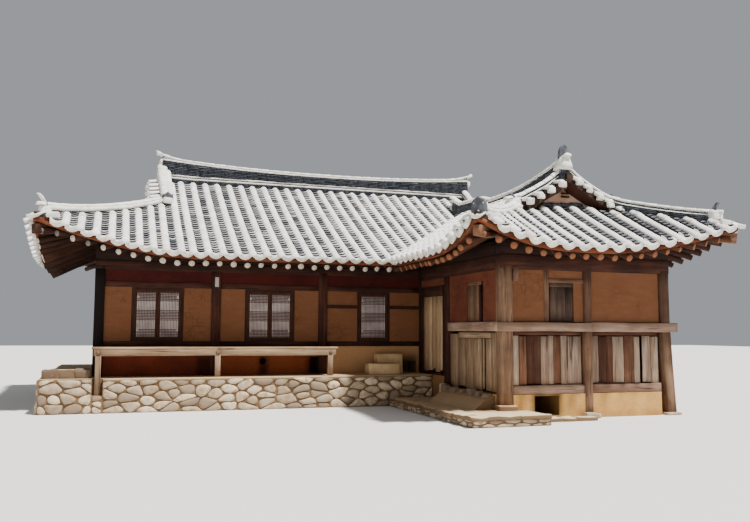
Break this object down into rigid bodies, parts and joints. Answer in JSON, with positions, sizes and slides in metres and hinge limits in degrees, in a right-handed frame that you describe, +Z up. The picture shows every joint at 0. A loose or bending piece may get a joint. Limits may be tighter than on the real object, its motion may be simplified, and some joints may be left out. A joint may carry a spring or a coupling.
{
  "type": "hanok house",
  "caption": "L-shaped timber and mud house with a tiled hip-and-gable roof, raised floor, long bench and lattice doors on a stone terrace.",
  "frame": {"origin": "under the middle of the whole house at yard level, at the bottom centre of its bounding box", "axes": "+X to the right along the main front, towards the wing; +Y away from the yard, into the house; +Z up"},
  "size_m": [13.232, 12.032, 6.0314],
  "materials": {
    "dark_wood": "old smoke-dark timber, matt",
    "grey_wood": "weathered timber, matt",
    "pale_wood": "pale planed boards, matt",
    "lattice_door": "wooden lattice over pale paper, matt",
    "mud_wall": "trowelled orange-brown mud plaster",
    "red_mud": "dark red-brown mud plaster in shade",
    "pale_mud": "pale yellow mud plaster",
    "field_stone": "rough field stone in tan mud",
    "roof_tile": "weathered grey fired tile, matt",
    "ridge_tile": "dark slate-blue fired tile, matt"
  },
  "bodies": {
    "house": {"main_front_rafters": "grey_wood", "main_left_rafters": "grey_wood", "main_back_rafters": "grey_wood", "right_rafters": "grey_wood", "wing_left_rafters": "grey_wood", "wing_front_rafters": "grey_wood", "main_front_slope": "roof_tile", "main_left_slope": "roof_tile", "main_back_slope": "roof_tile", "right_slope": "roof_tile", "wing_left_slope": "roof_tile", "wing_front_slope": "roof_tile", "main_ridge": "ridge_tile", "front_left_ridges": "ridge_tile", "back_left_ridges": "ridge_tile", "back_right_ridges": "ridge_tile", "front_right_ridge": "ridge_tile", "wing_ridge": "ridge_tile", "wing_left_ridges": "ridge_tile", "wing_right_ridges": "ridge_tile", "main_left_gable": "mud_wall", "main_right_gable": "mud_wall", "wing_gable": "mud_wall", "main_front_frame": "dark_wood", "main_left_frame": "dark_wood", "main_back_frame": "dark_wood", "right_frame": "grey_wood", "wing_left_frame": "dark_wood", "wing_front_frame": "grey_wood", "main_terrace": "field_stone", "wing_base": "pale_mud", "wing_platform": "field_stone", "stepping_stone": "field_stone", "heated_floor": "red_mud", "bench": "pale_wood", "front_wall_left_end": "mud_wall", "front_wall_between_doors_1_2": "mud_wall", "front_wall_between_doors_2_3": "mud_wall", "front_wall_right_end": "mud_wall", "front_wall_upper": "red_mud", "main_left_wall": "red_mud", "main_back_wall": "red_mud", "right_wall": "mud_wall", "wing_left_wall": "mud_wall", "wing_left_shutter": "grey_wood", "wing_left_boards": "grey_wood", "wing_front_wall": "mud_wall", "wing_front_shutter": "grey_wood", "wing_front_boards": "grey_wood", "door_1_frame": "dark_wood", "door_2_frame": "dark_wood", "door_3_frame": "dark_wood"},
    "door_1_left": {"door_1_left_leaf": "lattice_door"},
    "door_1_right": {"door_1_right_leaf": "lattice_door"},
    "door_2_left": {"door_2_left_leaf": "lattice_door"},
    "door_2_right": {"door_2_right_leaf": "lattice_door"},
    "door_3": {"door_3_leaf": "lattice_door"},
    "kitchen_door": {"kitchen_door": "pale_wood"}
  },
  "joints": [
    {"name": "door_1_left_hinge", "type": "hinge", "parent": "house", "child": "door_1_left", "pos_m": [-4.616, -0.912, 1.446], "axis": [0, 0, -1], "range_deg": [0, 100]},
    {"name": "door_1_right_hinge", "type": "hinge", "parent": "house", "child": "door_1_right", "pos_m": [-3.684, -0.912, 1.446], "axis": [0, 0, 1], "range_deg": [0, 100]},
    {"name": "door_2_left_hinge", "type": "hinge", "parent": "house", "child": "door_2_left", "pos_m": [-2.226, -0.912, 1.446], "axis": [0, 0, -1], "range_deg": [0, 100]},
    {"name": "door_2_right_hinge", "type": "hinge", "parent": "house", "child": "door_2_right", "pos_m": [-1.254, -0.912, 1.446], "axis": [0, 0, 1], "range_deg": [0, 100]},
    {"name": "door_3_hinge", "type": "hinge", "parent": "house", "child": "door_3", "pos_m": [0.364, -0.912, 1.446], "axis": [0, 0, -1], "range_deg": [0, 100]},
    {"name": "kitchen_door_hinge", "type": "hinge", "parent": "house", "child": "kitchen_door", "pos_m": [1.9, -2.21, 0.726], "axis": [0, 0, -1], "range_deg": [0, 90]}
  ]
}
